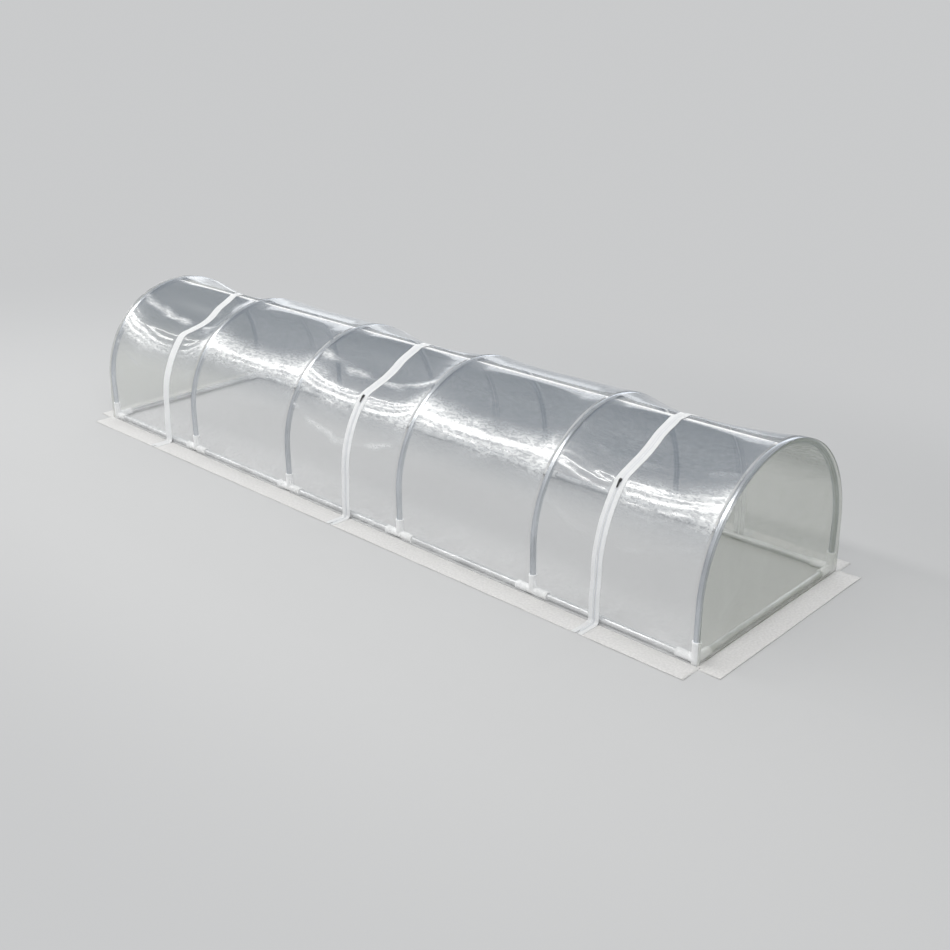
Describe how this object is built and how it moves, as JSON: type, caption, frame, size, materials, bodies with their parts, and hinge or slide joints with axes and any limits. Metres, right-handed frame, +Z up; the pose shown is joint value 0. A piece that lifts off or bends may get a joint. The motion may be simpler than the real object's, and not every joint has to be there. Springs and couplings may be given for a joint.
{
  "type": "row cover tunnel",
  "caption": "Low garden tunnel: tube hoops on a rail base, clear film cover with zipped bands across it, flat end panels and a pale skirt lying on the ground.",
  "frame": {"origin": "on the ground at the middle of the footprint", "axes": "+X along the tunnel towards the right end, -Y towards the front long side, +Z up"},
  "size_m": [3.198, 0.96, 0.5563],
  "materials": {
    "aluminium_tube": "satin drawn tube, light scuffs",
    "connector_plastic": "white moulded plastic, satin",
    "rod_plastic": "white glass-fibre rod, satin",
    "clear_film": "clear glossy film, slightly grey, crinkled",
    "skirt_sheet": "pale woven sheet, matte",
    "zip_tape": "white woven zip tape",
    "black_slider": "black enamel, semi-gloss"
  },
  "bodies": {
    "frame": {"hoop_1": "aluminium_tube", "hoop_2": "aluminium_tube", "hoop_3": "aluminium_tube", "hoop_4": "aluminium_tube", "hoop_5": "aluminium_tube", "hoop_6": "aluminium_tube", "front_rail_1": "aluminium_tube", "front_rail_2": "aluminium_tube", "front_rail_3": "aluminium_tube", "front_rail_4": "aluminium_tube", "front_rail_5": "aluminium_tube", "back_rail_1": "aluminium_tube", "back_rail_2": "aluminium_tube", "back_rail_3": "aluminium_tube", "back_rail_4": "aluminium_tube", "back_rail_5": "aluminium_tube", "left_end_rail": "aluminium_tube", "right_end_rail": "aluminium_tube", "front_tee_2": "connector_plastic", "front_tee_3": "connector_plastic", "front_tee_4": "connector_plastic", "front_tee_5": "connector_plastic", "back_tee_2": "connector_plastic", "back_tee_3": "connector_plastic", "back_tee_4": "connector_plastic", "back_tee_5": "connector_plastic", "front_left_corner": "connector_plastic", "front_right_corner": "connector_plastic", "back_left_corner": "connector_plastic", "back_right_corner": "connector_plastic", "ridge_rod_1": "rod_plastic", "ridge_rod_2": "rod_plastic", "ridge_rod_3": "rod_plastic", "ridge_rod_4": "rod_plastic", "ridge_rod_5": "rod_plastic", "cover_section_1": "clear_film", "cover_section_2": "clear_film", "cover_section_3": "clear_film", "cover_section_4": "clear_film", "left_end_panel": "clear_film", "right_end_panel": "clear_film", "zip_1_left_tape": "zip_tape", "zip_1_right_tape": "zip_tape", "zip_2_left_tape": "zip_tape", "zip_2_right_tape": "zip_tape", "zip_3_left_tape": "zip_tape", "zip_3_right_tape": "zip_tape", "skirt_border": "skirt_sheet"},
    "front_skirt": {"front_flap": "skirt_sheet"},
    "back_skirt": {"back_flap": "skirt_sheet"},
    "left_skirt": {"left_end_flap": "skirt_sheet"},
    "right_skirt": {"right_end_flap": "skirt_sheet"},
    "slider_1": {"zip_slider_1": "black_slider"},
    "pull_1": {"zip_pull_1": "black_slider"},
    "slider_2": {"zip_slider_2": "black_slider"},
    "pull_2": {"zip_pull_2": "black_slider"},
    "slider_3": {"zip_slider_3": "black_slider"},
    "pull_3": {"zip_pull_3": "black_slider"}
  },
  "joints": [
    {"name": "front_flap_fold", "type": "hinge", "parent": "frame", "child": "front_skirt", "pos_m": [0, -0.407, 0.0008], "axis": [-1, 0, 0], "range_deg": [0, 90]},
    {"name": "back_flap_fold", "type": "hinge", "parent": "frame", "child": "back_skirt", "pos_m": [0, 0.407, 0.0008], "axis": [1, 0, 0], "range_deg": [0, 90]},
    {"name": "left_flap_fold", "type": "hinge", "parent": "frame", "child": "left_skirt", "pos_m": [-1.526, 0, 0.0008], "axis": [0, 1, 0], "range_deg": [0, 90]},
    {"name": "right_flap_fold", "type": "hinge", "parent": "frame", "child": "right_skirt", "pos_m": [1.526, 0, 0.0008], "axis": [0, -1, 0], "range_deg": [0, 90]},
    {"name": "zip_1_run", "type": "hinge", "parent": "frame", "child": "slider_1", "pos_m": [-1.078, 0, 0.165], "axis": [-1, 0, 0], "range_deg": [0, 38]},
    {"name": "pull_1_lift", "type": "hinge", "parent": "slider_1", "child": "pull_1", "pos_m": [-1.078, 0.2951, 0.43071], "axis": [1, 0, 0], "range_deg": [0, 150]},
    {"name": "zip_2_run", "type": "hinge", "parent": "frame", "child": "slider_2", "pos_m": [0.038, 0, 0.165], "axis": [1, 0, 0], "range_deg": [0, 38]},
    {"name": "pull_2_lift", "type": "hinge", "parent": "slider_2", "child": "pull_2", "pos_m": [0.038, -0.2951, 0.43071], "axis": [-1, 0, 0], "range_deg": [0, 150]},
    {"name": "zip_3_run", "type": "hinge", "parent": "frame", "child": "slider_3", "pos_m": [1.152, 0, 0.165], "axis": [1, 0, 0], "range_deg": [0, 38]},
    {"name": "pull_3_lift", "type": "hinge", "parent": "slider_3", "child": "pull_3", "pos_m": [1.152, -0.2951, 0.43071], "axis": [-1, 0, 0], "range_deg": [0, 150]}
  ]
}
